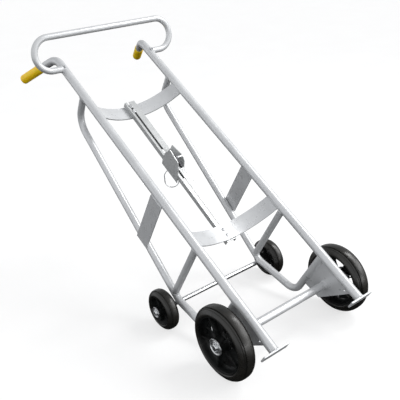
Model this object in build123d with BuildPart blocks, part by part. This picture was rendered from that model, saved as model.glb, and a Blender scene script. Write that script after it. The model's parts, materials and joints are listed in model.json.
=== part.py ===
from build123d import *
import os
from math import asin, atan2, cos, hypot, radians, sin

# Four-wheel drum hand truck, lying back on its four wheels. Millimetres.
# Row frame: +X across the truck, +Y towards the handle, +Z up, floor at Z = 0.
# The frame is drawn in its own upright coordinates: x across, n backwards
# from the main axle, u up along the rails. The plane FRAME lays it back.
# "left" is the -X side and "right" is the +X side.

# --- driving dimensions -------------------------------------------------
MAIN_R = 127.0            # main wheel, 10 inch
MAIN_W = 60.0
MAIN_X = 269.5            # wheel centre plane
REAR_R = 76.0             # rear wheel, 6 inch
REAR_W = 46.0
REAR_X = 260.5
REAR_U = 266.6            # rear axle above and behind the main axle
REAR_N = 228.3
MAIN_HUB = 37.0           # half the hub's length
REAR_HUB = 35.0
MAIN_RIM_R = 98.0         # tyre seat
REAR_RIM_R = 54.0
MAIN_HUB_R = 27.0
REAR_HUB_R = 19.0
MAIN_BORE_R = 17.5        # bearing seat
REAR_BORE_R = 13.0
RIM_T = 9.0
RIM_INSET = 4.0           # rim edge inside the tyre's side
WEB_T = 6.0
RIB_T = 8.0
RIB_INSET = 5.0           # rib edge inside the rim's edge
WINDOW_TO_SEAT = 16.0
WINDOW_TO_HUB = 8.0
TYRE_LIP = 5.0
HUB_RING_T = 4.0
COVER_DISH = 2.0          # how far the hub ring's middle is sunk
WASHER_GAP = 0.5
MAIN_WASHER_T = 4.0
REAR_WASHER_T = 3.0
MAIN_WASHER_R = 16.0
REAR_WASHER_R = 12.5
REAR_SPACER_R = 11.5
AXLE_CHAMFER = 1.5
AXLE_PROUD = 4.5          # axle end beyond the hub
SPOKES = 5
SPOKE_TURN = -9.0         # degrees from backwards to the first spoke
WINDOW_SPAN = 36.0        # degrees, at the window's outer edge

RAIL_X = 200.0
RAIL_N = -93.5
RAIL_D = 32.0
RAIL_WALL = 2.5
RAIL_BOTTOM = -121.0
RAIL_BEND_U = 1237.0      # where the rail leaves its straight run
RAIL_BEND_R = 60.0
RAIL_BEND = 62.3          # degrees turned back
RAIL_SPLAY = 24.6         # degrees turned outwards
RAIL_TAIL = 172.0         # straight length after the bend

GRIP_D = 38.0
GRIP_L = 118.0
GRIP_CAP = 3.0

LOOP_D = 25.0
LOOP_WALL = 2.0
LOOP_U = 1203.0
LOOP_N = -100.0
LOOP_TILT = -50.0         # degrees, forwards from the rails
LOOP_R = 63.0
LOOP_X = 246.0            # centre of the end arcs

LEG_D = 27.0
LEG_WALL = 2.5
LEG_TOP_U = 1052.0
LEG_LOW_U = 70.0
STRUT_D = 26.0
STRUT_WALL = 2.0
STRUT_U = 293.0
BRACE_U = 513.0
BRACE_W = 66.0
BRACE_L = 242.0           # before its ends are coped
BRACE_N = 35.0
LEG_BACK_N = 201.0        # the leg's back run at the strut
PLATE_T = 5.0             # flat bar and plate thickness
GUSSET = [(RAIL_N, -98.0), (RAIL_N, LEG_LOW_U), (76.0, LEG_LOW_U), (66.0, -14.0)]
GUSSET_HOLE = (-66.0, -67.0)
GUSSET_HOLE_R = 4.0

CRADLE_R = 285.0          # inner face, to a 200 litre drum
CRADLE_H = 63.0
CRADLE_N = -8.0           # inner face at its deepest
UPPER_U = 985.0
LOWER_U = 339.5

AXLE_R = 10.0
AXLE_TUBE_R = 14.0
AXLE_TUBE_BORE = 10.5
REAR_AXLE_R = 8.5

TOE_L = 104.0
TOE_DEPTH = 30.0
TOE_T = 6.0

TRACK_W = 44.0
TRACK_DEPTH = 20.0
TRACK_T = 2.5
SLOT_X = -8.0             # the track's slot, left of its middle
SLOT_W = 9.0
STRIP_T = 3.0
BOLT_R = 4.0
NUT_R = 6.5
HOOK_U = 680.0
CHEEK_GAP = 0.5
CHEEK_T = 3.0

RUN_GAP = 0.05            # running clearance of a bearing on its axle
SIDES = {"left": -1, "right": 1}

# --- planes -------------------------------------------------------------
lean = atan2(REAR_U, REAR_N) + asin((MAIN_R - REAR_R) / hypot(REAR_U, REAR_N))
FRAME = Plane(origin=(0, 0, MAIN_R), x_dir=(1, 0, 0), z_dir=(0, sin(lean), cos(lean)))


def at(x, n, u):
    """Point of the frame's own coordinates in the row frame."""
    return FRAME.from_local_coords((x, n, u))


def direction(x, n, u):
    """Direction of the frame's own coordinates in the row frame."""
    return at(x, n, u) - at(0, 0, 0)


def side_plane(x):
    """Upright side plane: sketch x is backwards, sketch y is up the rails."""
    return Plane(origin=at(x, 0, 0), x_dir=direction(0, 1, 0), z_dir=direction(1, 0, 0))


def level_plane(u):
    """Plane across the rails: sketch x is across, sketch y is backwards."""
    return Plane(origin=at(0, 0, u), x_dir=(1, 0, 0), z_dir=direction(0, 0, 1))


def cross_plane(x, n, u):
    """Plane square to X through a point, to extrude or revolve along X."""
    return Plane(origin=at(x, n, u), x_dir=(0, 1, 0), z_dir=(1, 0, 0))


track_run = UPPER_U - LOWER_U
track_low_n = CRADLE_N + PLATE_T
track_high_n = CRADLE_N - TRACK_DEPTH
track_slope = (track_high_n - track_low_n) / track_run


def track_plane(u):
    """Plane across the track: origin on its front face, sketch y backwards."""
    front_n = track_low_n + track_slope * (u - LOWER_U)
    return Plane(origin=at(0, front_n, u), x_dir=(1, 0, 0),
                 z_dir=direction(0, track_slope, 1))


TRACK = track_plane(HOOK_U)
parts = {}


def keep(name, part):
    """Label a finished piece and hold it for writing."""
    part.label = name
    parts[name] = part


def tube_along(path, outer_d, bore_d):
    """Round tube swept along a path; a bore of 0 makes a solid rod."""
    with BuildPart() as tube:
        with BuildSketch(Plane(origin=path @ 0, z_dir=path % 0)):
            Circle(outer_d / 2)
            if bore_d > 0:
                Circle(bore_d / 2, mode=Mode.SUBTRACT)
        sweep(path=path)
    return tube.part


def minus(part, *tools):
    """A piece with the ends that run into its neighbours coped away."""
    with BuildPart() as coped:
        add(part)
        for tool in tools:
            add(tool, mode=Mode.SUBTRACT)
    return coped.part.solids().sort_by(SortBy.VOLUME)[-1]


def ring_x(x0, x1, n, u, outer_r, inner_r):
    """Plain ring or rod about an axis along X, from x0 to x1."""
    with BuildPart() as ring:
        with BuildSketch(cross_plane(min(x0, x1), n, u)):
            Circle(outer_r)
            if inner_r > 0:
                Circle(inner_r, mode=Mode.SUBTRACT)
        extrude(amount=abs(x1 - x0))
    return ring.part


# --- rails --------------------------------------------------------------
def rail_line(side):
    """Centre line of a rail, from its foot to its grip end."""
    across = (side * sin(radians(RAIL_SPLAY)), cos(radians(RAIL_SPLAY)))
    plane = Plane(origin=at(side * RAIL_X, RAIL_N, RAIL_BEND_U),
                  x_dir=direction(across[0], across[1], 0),
                  z_dir=direction(across[1], -across[0], 0))
    turn = radians(RAIL_BEND)
    end = Vector(RAIL_BEND_R * (1 - cos(turn)), RAIL_BEND_R * sin(turn))
    with BuildLine(plane) as line:
        Line((0, RAIL_BOTTOM - RAIL_BEND_U), (0, 0))
        TangentArc((0, 0), (end.X, end.Y), tangent=(0, 1))
        Line((end.X, end.Y), (end.X + RAIL_TAIL * sin(turn), end.Y + RAIL_TAIL * cos(turn)))
    return line.line


rail_rods = {}
rail_paths = {}
for side_name, side in SIDES.items():
    rail_paths[side_name] = rail_line(side)
    rail_rods[side_name] = tube_along(rail_paths[side_name], RAIL_D, 0)
    bore_d = RAIL_D - 2 * RAIL_WALL
    keep(f"{side_name}_rail", tube_along(rail_paths[side_name], RAIL_D, bore_d))


# --- grips --------------------------------------------------------------
for side_name in SIDES:
    path = rail_paths[side_name]
    tip = Plane(origin=path @ 1, z_dir=path % 1)
    with BuildPart() as grip:
        with BuildSketch(tip.offset(GRIP_CAP - GRIP_L)):
            Circle(GRIP_D / 2)
        extrude(amount=GRIP_L)
        fillet(grip.edges().filter_by(GeomType.CIRCLE), 1.5)
        with BuildSketch(tip.offset(GRIP_CAP - GRIP_L)):
            Circle(RAIL_D / 2)
        extrude(amount=GRIP_L - GRIP_CAP, mode=Mode.SUBTRACT)
    keep(f"{side_name}_grip", grip.part)


# --- handle loop --------------------------------------------------------
def loop_line():
    """Flattened loop that leans forwards and ends on the rails' outer sides."""
    tilt = radians(LOOP_TILT)
    plane = Plane(origin=at(0, LOOP_N, LOOP_U), x_dir=(1, 0, 0),
                  z_dir=direction(0, -cos(tilt), sin(tilt)))
    height = 2 * LOOP_R
    with BuildLine(plane) as line:
        Line((RAIL_X, 0), (LOOP_X, 0))
        CenterArc((LOOP_X, LOOP_R), LOOP_R, -90, 180)
        Line((LOOP_X, height), (-LOOP_X, height))
        CenterArc((-LOOP_X, LOOP_R), LOOP_R, 90, 180)
        Line((-LOOP_X, 0), (-RAIL_X, 0))
    return line.line


loop = tube_along(loop_line(), LOOP_D, LOOP_D - 2 * LOOP_WALL)
keep("handle_loop", minus(loop, *rail_rods.values()))


# --- legs, struts and braces --------------------------------------------
def leg_line(side):
    """Bent leg: back from the rail, down to the rear axle, forwards again."""
    with BuildLine(side_plane(side * RAIL_X)) as line:
        FilletPolyline((RAIL_N, LEG_TOP_U), (42, LEG_TOP_U), (208, 265),
                       (151, LEG_LOW_U), (RAIL_N, LEG_LOW_U), radius=[75, 60, 55])
    return line.line


leg_rods = {}
for side_name, side in SIDES.items():
    path = leg_line(side)
    leg_rods[side_name] = tube_along(path, LEG_D, 0)
    leg = tube_along(path, LEG_D, LEG_D - 2 * LEG_WALL)
    keep(f"{side_name}_leg", minus(leg, rail_rods[side_name]))

    with BuildLine(side_plane(side * RAIL_X)) as strut_line:
        Line((RAIL_N, STRUT_U), (LEG_BACK_N, STRUT_U))
    strut = tube_along(strut_line.line, STRUT_D, STRUT_D - 2 * STRUT_WALL)
    keep(f"{side_name}_strut", minus(strut, rail_rods[side_name], leg_rods[side_name]))

    with BuildPart() as brace:
        inner_x = RAIL_X + LEG_D / 2
        with BuildSketch(side_plane(side * inner_x)):
            with Locations((BRACE_N, BRACE_U)):
                Rectangle(BRACE_L, BRACE_W)
        extrude(amount=side * PLATE_T)
    keep(f"{side_name}_brace", minus(brace.part, rail_rods[side_name], leg_rods[side_name]))


# --- cradles ------------------------------------------------------------
def cradle(u):
    """Flat bar bent to the drum, standing across the rails."""
    centre_n = CRADLE_N - CRADLE_R
    with BuildPart() as bar:
        with BuildSketch(level_plane(u - CRADLE_H / 2)):
            with Locations((0, centre_n)):
                Circle(CRADLE_R + PLATE_T)
                Circle(CRADLE_R, mode=Mode.SUBTRACT)
            with Locations((0, centre_n + CRADLE_R)):
                Rectangle(2 * RAIL_X - 6, 180, mode=Mode.INTERSECT)
        extrude(amount=CRADLE_H)
    return minus(bar.part, *rail_rods.values())


BOLT_US = {"lower": (LOWER_U - 14, LOWER_U + 12), "upper": (UPPER_U - 14, UPPER_U + 14)}


def bolt_rod(u, start, end, radius):
    """Rod along a bolt's axis; distances run backwards from the track's front."""
    plane = track_plane(u)
    with BuildPart() as rod:
        with BuildSketch(Plane(origin=plane.from_local_coords((SLOT_X, start, 0)),
                               x_dir=(1, 0, 0), z_dir=plane.y_dir)):
            Circle(radius)
        extrude(amount=end - start)
    return rod.part


cradles = {}
for place, u in (("upper", UPPER_U), ("lower", LOWER_U)):
    holes = [bolt_rod(bolt_u, -30, 60, BOLT_R) for bolt_u in BOLT_US[place]]
    cradles[place] = minus(cradle(u), *holes)
    keep(f"{place}_cradle", cradles[place])


# --- gussets, axle tube and axles ---------------------------------------
for side_name, side in SIDES.items():
    with BuildPart() as gusset:
        with BuildSketch(side_plane(side * RAIL_X - PLATE_T / 2)):
            with BuildLine():
                Polyline(*GUSSET, close=True)
            make_face()
            Circle(AXLE_R, mode=Mode.SUBTRACT)
            with Locations(GUSSET_HOLE):
                Circle(GUSSET_HOLE_R, mode=Mode.SUBTRACT)
        extrude(amount=PLATE_T)
    keep(f"{side_name}_gusset", minus(gusset.part, rail_rods[side_name], leg_rods[side_name]))

gusset_in = RAIL_X - PLATE_T / 2
gusset_out = RAIL_X + PLATE_T / 2
keep("axle_tube", ring_x(-gusset_in, gusset_in, 0, 0, AXLE_TUBE_R, AXLE_TUBE_BORE))

main_end = MAIN_X + MAIN_HUB + AXLE_PROUD
rear_end = REAR_X + REAR_HUB + AXLE_PROUD
for name, end, n, u, radius in (("main_axle", main_end, 0, 0, AXLE_R),
                                ("rear_axle", rear_end, REAR_N, REAR_U, REAR_AXLE_R)):
    with BuildPart() as axle:
        with BuildSketch(cross_plane(-end, n, u)):
            Circle(radius)
        extrude(amount=2 * end)
        chamfer(axle.edges().filter_by(GeomType.CIRCLE), AXLE_CHAMFER)
    keep(name, axle.part)


# --- toe bars -----------------------------------------------------------
for side_name, side in SIDES.items():
    with BuildPart() as toe:
        with BuildSketch(level_plane(RAIL_BOTTOM - TOE_T)):
            with Locations((side * RAIL_X, RAIL_N - 1)):
                RectangleRounded(TOE_L, TOE_DEPTH, 3)
        extrude(amount=TOE_T)
    keep(f"{side_name}_toe", toe.part)


# --- wheels -------------------------------------------------------------
def wheel(name, x, n, u, radius, width, rim_r, hub_half, hub_r, bearing_r, axle_r):
    """Tyre, core, bearing and hub ring of one wheel about an axis along X."""
    outward = 1 if x > 0 else -1
    half = width / 2
    section = Plane(origin=at(x, n, u), x_dir=(outward, 0, 0), z_dir=(0, -outward, 0))

    with BuildPart() as tyre:
        with BuildSketch(section):
            with BuildLine():
                wall_r = 0.84 * radius
                edge_r = 0.975 * radius
                edge_x = half - 0.075 * radius
                Polyline((-edge_x, edge_r), (-half, wall_r), (-half, rim_r + TYRE_LIP),
                         (TYRE_LIP - half, rim_r), (half - TYRE_LIP, rim_r),
                         (half, rim_r + TYRE_LIP),
                         (half, wall_r), (edge_x, edge_r))
                ThreePointArc((edge_x, edge_r), (0, radius), (-edge_x, edge_r))
            make_face()
        revolve(axis=Axis(at(x, n, u), (1, 0, 0)))
    keep(f"{name}_tyre", tyre.part)

    web_half = WEB_T / 2
    rim_half = half - RIM_INSET
    rib_half = rim_half - RIB_INSET
    window_out = rim_r - WINDOW_TO_SEAT
    window_in = hub_r + WINDOW_TO_HUB
    rim_in = rim_r - RIM_T
    with BuildPart() as core:
        with BuildSketch(cross_plane(x - rim_half, n, u)):
            Circle(rim_r)
            Circle(rim_in, mode=Mode.SUBTRACT)
        extrude(amount=2 * rim_half)
        with BuildSketch(cross_plane(x - web_half, n, u)):
            Circle(rim_in + RIM_T / 2)
            Circle(hub_r - 2, mode=Mode.SUBTRACT)
            for index in range(SPOKES):
                start = SPOKE_TURN + 360 / SPOKES * (index + 0.5) - WINDOW_SPAN / 2
                with BuildSketch(mode=Mode.SUBTRACT):
                    with BuildLine():
                        outer = CenterArc((0, 0), window_out, start, WINDOW_SPAN)
                        inner = CenterArc((0, 0), window_in, start + 3, WINDOW_SPAN - 6)
                        Line(outer @ 0, inner @ 0)
                        Line(outer @ 1, inner @ 1)
                    make_face()
        extrude(amount=2 * web_half)
        with BuildSketch(cross_plane(x - rib_half, n, u)):
            with PolarLocations((hub_r + rim_in) / 2, SPOKES, start_angle=SPOKE_TURN):
                Rectangle(rim_in - hub_r + 4, RIB_T)
        extrude(amount=2 * rib_half)
        hub_start = x - hub_half + (HUB_RING_T if outward < 0 else 0)
        with BuildSketch(cross_plane(hub_start, n, u)):
            Circle(hub_r)
        extrude(amount=2 * hub_half - HUB_RING_T)
        with BuildSketch(cross_plane(x - hub_half, n, u)):
            Circle(bearing_r)
        extrude(amount=2 * hub_half, mode=Mode.SUBTRACT)
    keep(f"{name}_core", core.part)

    inner_x = x - outward * hub_half
    outer_x = x + outward * (hub_half - HUB_RING_T)
    keep(f"{name}_bearing", ring_x(inner_x, outer_x, n, u, bearing_r, axle_r + RUN_GAP))

    with BuildPart() as cap:
        with BuildSketch(section):
            with BuildLine():
                inside = hub_half - HUB_RING_T
                Polyline((inside, axle_r + 0.5), (inside, hub_r + 1.5), (hub_half, hub_r + 1.5),
                         (hub_half, hub_r - 3.5), (hub_half - COVER_DISH, hub_r - 4.5),
                         (hub_half - COVER_DISH, axle_r + 0.5), close=True)
            make_face()
        revolve(axis=Axis(at(x, n, u), (1, 0, 0)))
    keep(f"{name}_hub_ring", cap.part)


for side_name, side in SIDES.items():
    wheel(f"{side_name}_main", side * MAIN_X, 0, 0, MAIN_R, MAIN_W, MAIN_RIM_R, MAIN_HUB,
          MAIN_HUB_R, MAIN_BORE_R, AXLE_R)
    hub_in = side * (MAIN_X - MAIN_HUB - WASHER_GAP)
    keep(f"{side_name}_main_spacer",
         ring_x(side * gusset_out, hub_in, 0, 0, AXLE_TUBE_R, AXLE_R))
    face = side * (MAIN_X + MAIN_HUB - COVER_DISH + WASHER_GAP)
    keep(f"{side_name}_main_retainer",
         ring_x(face, face + side * MAIN_WASHER_T, 0, 0, MAIN_WASHER_R, AXLE_R))

    wheel(f"{side_name}_rear", side * REAR_X, REAR_N, REAR_U, REAR_R, REAR_W, REAR_RIM_R,
          REAR_HUB, REAR_HUB_R, REAR_BORE_R, REAR_AXLE_R)
    hub_in = side * (REAR_X - REAR_HUB - WASHER_GAP)
    keep(f"{side_name}_rear_spacer",
         ring_x(side * (RAIL_X + LEG_D / 2), hub_in, REAR_N, REAR_U, REAR_SPACER_R,
                REAR_AXLE_R))
    face = side * (REAR_X + REAR_HUB - COVER_DISH + WASHER_GAP)
    keep(f"{side_name}_rear_retainer",
         ring_x(face, face + side * REAR_WASHER_T, REAR_N, REAR_U, REAR_WASHER_R, REAR_AXLE_R))


# --- hook track ---------------------------------------------------------
track_top = UPPER_U + CRADLE_H / 2 + 6
track_bottom = LOWER_U - CRADLE_H / 2 - 5
half_w = TRACK_W / 2
for side_name, side in SIDES.items():
    slot_edge = SLOT_X + side * SLOT_W / 2
    with BuildPart() as track:
        with BuildSketch(track_plane(track_bottom)):
            with BuildLine():
                Polyline((slot_edge, 0), (side * half_w, 0), (side * half_w, TRACK_DEPTH),
                         (side * (half_w - TRACK_T), TRACK_DEPTH),
                         (side * (half_w - TRACK_T), TRACK_T), (slot_edge, TRACK_T),
                         close=True)
            make_face()
        extrude(amount=track_top - track_bottom)
    keep(f"{side_name}_track_angle", minus(track.part, *cradles.values()))

strip_bottom = HOOK_U + 90
strip_in = TRACK_DEPTH - 4
with BuildPart() as strip:
    with BuildSketch(track_plane(strip_bottom)):
        with Locations((0, strip_in + STRIP_T / 2)):
            Rectangle(TRACK_W - 2 * TRACK_T, STRIP_T)
    extrude(amount=track_top - 4 - strip_bottom)
upper_holes = [bolt_rod(bolt_u, -30, 60, BOLT_R) for bolt_u in BOLT_US["upper"]]
keep("track_back_strip", minus(strip.part, cradles["upper"], *upper_holes))

bolt_solids = []
for place, bolt_us in BOLT_US.items():
    for bolt_u in bolt_us:
        if place == "lower":
            head = bolt_rod(bolt_u, -PLATE_T - 6.5, -PLATE_T - 0.5, 7)
            shank = bolt_rod(bolt_u, -PLATE_T - 6, 11, BOLT_R)
            nut = bolt_rod(bolt_u, TRACK_T + 1, TRACK_T + 7, NUT_R)
            tools = [cradles["lower"]]
        else:
            head = bolt_rod(bolt_u, -4.5, 0, 8)
            shank = bolt_rod(bolt_u, -4, TRACK_DEPTH + 15, BOLT_R)
            nut = bolt_rod(bolt_u, TRACK_DEPTH + PLATE_T + 0.8, TRACK_DEPTH + 13, NUT_R)
            tools = [cradles["upper"]]
        with BuildPart() as bolt:
            add(shank)
            add(head)
            add(nut)
            for tool in tools:
                add(tool, mode=Mode.SUBTRACT)
        bolt_solids.append(bolt.part.solids().sort_by(SortBy.VOLUME)[-1])
keep("track_bolts", Compound(children=bolt_solids))


# --- chime hook on its slide --------------------------------------------
def hook_side_plane(x):
    """Side plane of the hook: sketch x backwards, sketch y up the track."""
    return Plane(origin=TRACK.from_local_coords((x, 0, 0)), x_dir=TRACK.y_dir, z_dir=(1, 0, 0))


cheek_in = half_w + CHEEK_GAP
web_in = TRACK_DEPTH + 1.0
web_out = web_in + CHEEK_T
PIN = (-30.0, 4.0)
PIN_R = 4.0
WEB_LOW = -60.0
WEB_HIGH = 40.0
CHEEKS = {-1: [(35, 41), (33, -64), (-20, -47), (-50, -32), (-58, 27), (-22, 45), (6, 46)],
          1: [(web_out, 46), (web_out, -46), (4, -28), (-22, -18), (-33, -7), (-36, 8),
              (-30, 34), (-23, 69), (2, 70)]}
with BuildPart() as saddle:
    for side, cheek in CHEEKS.items():
        with BuildSketch(hook_side_plane(side * cheek_in)):
            with BuildLine():
                Polyline(*cheek, close=True)
            make_face()
            with Locations(PIN):
                Circle(PIN_R, mode=Mode.SUBTRACT)
        extrude(amount=side * CHEEK_T)
    with BuildSketch(track_plane(HOOK_U + WEB_LOW)):
        with Locations((0, web_in + CHEEK_T / 2)):
            Rectangle(2 * cheek_in, CHEEK_T)
    extrude(amount=WEB_HIGH - WEB_LOW)
keep("hook_saddle", saddle.part.solids().sort_by(SortBy.VOLUME)[-1])

with BuildPart() as pin:
    with BuildSketch(hook_side_plane(-cheek_in - CHEEK_T - 1)):
        with Locations(PIN):
            Circle(PIN_R)
            Circle(1.8, mode=Mode.SUBTRACT)
    extrude(amount=2 * (cheek_in + CHEEK_T + 1))
keep("hook_pin", pin.part)

PAWL_T = 7.0
PAWL = [(-39, 12), (-39, -24), (-34, -42), (-26, -44), (-24, -22), (-14, -14), (6, -12), (9, -2),
        (-14, 6), (-22, 14)]
with BuildPart() as pawl:
    with BuildSketch(hook_side_plane(SLOT_X - PAWL_T / 2)):
        with BuildLine():
            Polyline(*PAWL, close=True)
        make_face()
        with Locations(PIN):
            Circle(PIN_R + RUN_GAP, mode=Mode.SUBTRACT)
    extrude(amount=PAWL_T)
keep("hook_pawl", pawl.part)

SPRING_WIRE = 1.6
spring_start = SLOT_X + PAWL_T / 2 + 1.5
coil_at = hook_side_plane(spring_start).from_local_coords((PIN[0], PIN[1], 0))
with BuildPart() as spring:
    with BuildLine() as coil:
        Helix(pitch=2.4, height=11, radius=PIN_R + 1.4, center=coil_at, direction=(1, 0, 0))
    with BuildSketch(Plane(origin=coil.line @ 0, z_dir=coil.line % 0)):
        Circle(SPRING_WIRE / 2)
    sweep(is_frenet=True)
keep("hook_spring", spring.part)

# --- pull ring, hanging from an eye on the saddle ------------------------
RING_YAW = -38.0          # the eye is set askew, so the ring hangs turned
RING_W = 54.0
RING_L = 73.0
RING_WIRE = 4.0
EYE_X = -10.0
EYE_R = 6.5
EYE_WIRE = 4.0
eye_at = TRACK.from_local_coords((EYE_X, web_out + EYE_R + 1, 2))
ring_x_dir = (cos(radians(RING_YAW)), sin(radians(RING_YAW)), 0)
eye_plane = Plane(origin=eye_at, x_dir=(-ring_x_dir[1], ring_x_dir[0], 0), z_dir=ring_x_dir)
with BuildPart() as eye:
    with BuildSketch(Plane(origin=eye_at + eye_plane.x_dir * EYE_R, x_dir=eye_plane.x_dir,
                           z_dir=eye_plane.y_dir)):
        Circle(EYE_WIRE / 2)
    revolve(axis=Axis(eye_at, ring_x_dir))
keep("ring_eye", minus(eye.part, parts["hook_saddle"]))

ring_sag = EYE_R - (EYE_WIRE + RING_WIRE) / 2 - 0.2
ring_top = eye_at - Vector(0, 0, ring_sag)
hang = Plane(origin=ring_top, x_dir=ring_x_dir, z_dir=(ring_x_dir[1], -ring_x_dir[0], 0))
top_r = RING_W / 2
with BuildLine(hang) as ring_line:
    Line((-top_r, -top_r), (-top_r, top_r - RING_L))
    CenterArc((0, top_r - RING_L), top_r, 180, 180)
    Line((top_r, top_r - RING_L), (top_r, -top_r))
    CenterArc((0, -top_r), top_r, 0, 180)
keep("pull_ring", tube_along(ring_line.line, RING_WIRE, 0))


# --- place the origin and write the pieces -------------------------------
boxes = [part.bounding_box() for part in parts.values()]
front_y = min(box.min.Y for box in boxes)
back_y = max(box.max.Y for box in boxes)
shift = Location((0, -(front_y + back_y) / 2, 0))
os.makedirs("parts", exist_ok=True)
for name, part in parts.items():
    placed = part.moved(shift)
    placed.label = name
    export_step(placed, f"parts/{name}.step")
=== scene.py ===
import json
from math import ceil, cos, pi, radians, sin, sqrt, tan, tau

import bmesh
import bpy
from mathutils import Matrix, Vector


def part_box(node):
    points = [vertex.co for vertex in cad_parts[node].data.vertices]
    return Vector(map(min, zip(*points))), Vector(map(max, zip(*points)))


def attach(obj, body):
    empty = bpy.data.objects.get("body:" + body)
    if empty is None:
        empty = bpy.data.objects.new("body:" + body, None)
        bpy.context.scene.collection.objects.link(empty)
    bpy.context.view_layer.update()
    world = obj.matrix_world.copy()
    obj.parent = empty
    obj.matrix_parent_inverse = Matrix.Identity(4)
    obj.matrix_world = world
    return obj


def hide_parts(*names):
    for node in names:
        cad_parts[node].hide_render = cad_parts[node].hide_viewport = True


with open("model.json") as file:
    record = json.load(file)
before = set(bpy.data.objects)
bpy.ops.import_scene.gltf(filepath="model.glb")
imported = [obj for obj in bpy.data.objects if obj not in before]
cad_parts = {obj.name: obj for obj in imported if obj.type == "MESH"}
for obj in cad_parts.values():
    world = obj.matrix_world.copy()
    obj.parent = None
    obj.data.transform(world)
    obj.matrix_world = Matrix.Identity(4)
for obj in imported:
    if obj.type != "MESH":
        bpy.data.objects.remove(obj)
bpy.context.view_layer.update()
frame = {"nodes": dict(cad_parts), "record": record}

# Four-wheel drum truck, lying back on its wheels. Metres, in the row frame.
# The steel frame is described in its own coordinates: x across, n backwards
# from the main axle, u up along the rails. at() turns them into the row frame.
RAIL_X = 0.200
RAIL_N = -0.0935
RAIL_R = 0.016
RAIL_FOOT_U = -0.121
RAIL_BEND_U = 1.237
RAIL_BEND_R = 0.060
RAIL_BEND = radians(62.3)
RAIL_SPLAY = radians(24.6)
RAIL_TAIL = 0.172
GRIP_R = 0.019
GRIP_L = 0.118
LOOP_R = 0.0125
LOOP_U = 1.203
LOOP_N = -0.100
LOOP_TILT = radians(-50)
LOOP_ARC_R = 0.063
LOOP_X = 0.246
LEG_R = 0.0135
LEG_TOP_U = 1.052
LEG_LOW_U = 0.070
STRUT_R = 0.013
STRUT_U = 0.293
STRUT_END_N = 0.201
BRACE_U = 0.513
PLATE_T = 0.005
CRADLE_R = 0.285
CRADLE_N = -0.008
CRADLE_US = {"upper": 0.985, "lower": 0.3395}
GUSSET_LOW_U = -0.098
AXLE_TUBE_R = 0.014
AXLE_TUBE_HALF = 0.1975
TRACK_DEPTH = 0.020
TRACK_T = 0.0025
SLOT_X = -0.008

SIDES = {"left": -1, "right": 1}
ACROSS = Vector((1, 0, 0))
toe_mount = [m for m in frame["record"]["mounts"] if m["name"] == "left_toe_foot"][0]
UP = -Vector(toe_mount["axis"])
BACK = Vector((0, UP.z, -UP.y))


def middle(node):
    """Centre of a CAD node's box."""
    lo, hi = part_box(node)
    return (lo + hi) / 2


MAIN_AXLE = middle("main_axle")


def at(x, n, u):
    """Point of the frame's own coordinates in the row frame."""
    return MAIN_AXLE + ACROSS * x + BACK * n + UP * u


# --- materials ------------------------------------------------------------
class Look:
    """A procedural material. Its textures are laid out in the row frame."""

    def __init__(self, name, sockets):
        self.material = bpy.data.materials.new(name)
        self.material.use_nodes = True
        self.tree = self.material.node_tree
        self.shader = self.tree.nodes["Principled BSDF"]
        for socket, value in sockets.items():
            self.shader.inputs[socket].default_value = value
        self.place = self.add("TexCoord").outputs["Object"]

    def add(self, kind, **settings):
        node = self.tree.nodes.new("ShaderNode" + kind)
        for name, value in settings.items():
            setattr(node, name, value)
        return node

    def join(self, output, socket):
        self.tree.links.new(output, socket)

    def noise(self, scale, detail=3.0, roughness=0.55, stretch=(1, 1, 1), turn=(0, 0, 0)):
        """Noise from 0 to 1; stretch scales each axis, after the turn."""
        mapping = self.add("Mapping")
        mapping.inputs["Rotation"].default_value = turn
        mapping.inputs["Scale"].default_value = stretch
        self.join(self.place, mapping.inputs["Vector"])
        texture = self.add("TexNoise")
        texture.inputs["Scale"].default_value = scale
        texture.inputs["Detail"].default_value = detail
        texture.inputs["Roughness"].default_value = roughness
        self.join(mapping.outputs["Vector"], texture.inputs["Vector"])
        return texture.outputs["Fac"]

    def cells(self, scale):
        """A value from 0 to 1 that differs from one small cell to the next."""
        texture = self.add("TexVoronoi")
        texture.inputs["Scale"].default_value = scale
        self.join(self.place, texture.inputs["Vector"])
        channels = self.add("SeparateColor")
        self.join(texture.outputs["Color"], channels.inputs["Color"])
        return channels.outputs["Red"]

    def height(self):
        """Height above the floor in the rest position."""
        axes = self.add("SeparateXYZ")
        self.join(self.place, axes.inputs["Vector"])
        return axes.outputs["Z"]

    def spread(self, value, low, high, to_low, to_high):
        """value's stretch from low to high, mapped smoothly onto to_low to to_high."""
        node = self.add("MapRange", interpolation_type="SMOOTHSTEP")
        node.inputs["From Min"].default_value = low
        node.inputs["From Max"].default_value = high
        node.inputs["To Min"].default_value = to_low
        node.inputs["To Max"].default_value = to_high
        self.join(value, node.inputs["Value"])
        return node.outputs["Result"]

    def times(self, a, b):
        node = self.add("Math", operation="MULTIPLY")
        self.join(a, node.inputs[0])
        self.join(b, node.inputs[1])
        return node.outputs["Value"]

    def mix(self, share, a, b):
        """Colour between a and b, each a colour or another node's output."""
        node = self.add("Mix", data_type="RGBA")
        self.join(share, node.inputs["Factor"])
        for value, socket in ((a, node.inputs[6]), (b, node.inputs[7])):
            if isinstance(value, tuple):
                socket.default_value = (*value, 1)
            else:
                self.join(value, socket)
        return node.outputs[2]

    def colour(self, output):
        self.join(output, self.shader.inputs["Base Color"])

    def roughness(self, output):
        self.join(output, self.shader.inputs["Roughness"])

    def relief(self, *layers):
        """Bump from (height output, depth in metres) layers, coarse to fine."""
        normal = None
        for output, depth in layers:
            bump = self.add("Bump")
            bump.inputs["Strength"].default_value = 1.0
            bump.inputs["Distance"].default_value = depth
            self.join(output, bump.inputs["Height"])
            if normal:
                self.join(normal, bump.inputs["Normal"])
            normal = bump.outputs["Normal"]
        self.join(normal, self.shader.inputs["Normal"])


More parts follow.
